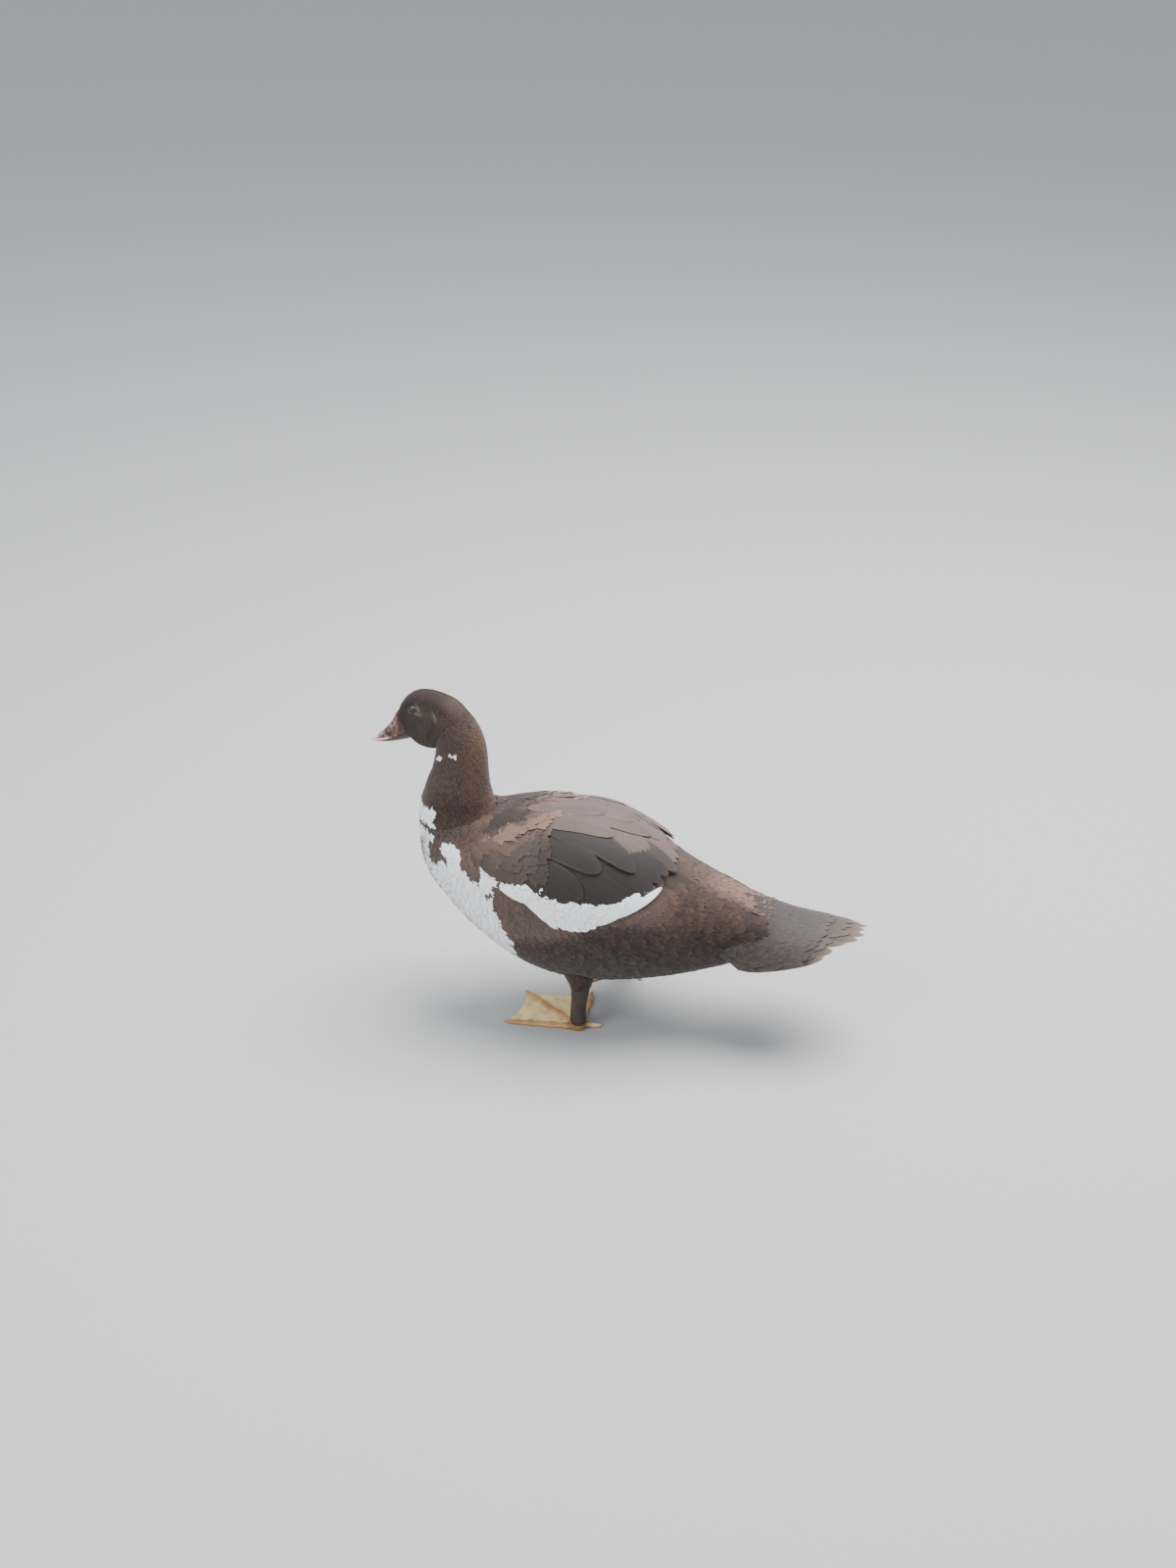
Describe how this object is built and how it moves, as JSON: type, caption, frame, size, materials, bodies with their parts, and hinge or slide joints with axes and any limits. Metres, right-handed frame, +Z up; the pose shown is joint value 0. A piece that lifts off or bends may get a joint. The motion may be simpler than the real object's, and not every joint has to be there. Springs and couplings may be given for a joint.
{
  "type": "muscovy duck",
  "caption": "Life-size still model of a young muscovy duck standing with its head turned aside, for display or as scenery.",
  "frame": {"origin": "on the floor under the middle of the bounding box", "axes": "+Z up, the bird faces -X with its tail towards +X, its left side is -Y"},
  "size_m": [0.5806, 0.2224, 0.3771],
  "materials": {
    "body_plumage": "soft matte brown body feathers, white on the breast",
    "head_plumage": "short soft brown feathers, white down the front of the neck",
    "wing_feather": "smooth vanes, dull satin, with a white band along the lower edge",
    "tail_feather": "smooth vanes, dull satin, paler worn tips",
    "bill": "pinkish horn with dark brown mottling, satin",
    "eye": "wet dark brown",
    "leg_skin": "dark scaly skin",
    "foot_skin": "yellow-orange scaly skin, paler web",
    "claw": "dull horn"
  },
  "bodies": {
    "root": {"torso": "body_plumage", "neck": "head_plumage", "head": "head_plumage", "bill_upper": "bill", "bill_lower": "bill", "tail": "tail_feather", "eye_left": "eye", "wing_left": "wing_feather", "thigh_left": "body_plumage", "tarsus_left": "leg_skin", "foot_left": "foot_skin", "claw_left_inner": "claw", "claw_left_middle": "claw", "claw_left_outer": "claw", "eye_right": "eye", "wing_right": "wing_feather", "thigh_right": "body_plumage", "tarsus_right": "leg_skin", "foot_right": "foot_skin", "claw_right_inner": "claw", "claw_right_middle": "claw", "claw_right_outer": "claw"}
  },
  "joints": []
}
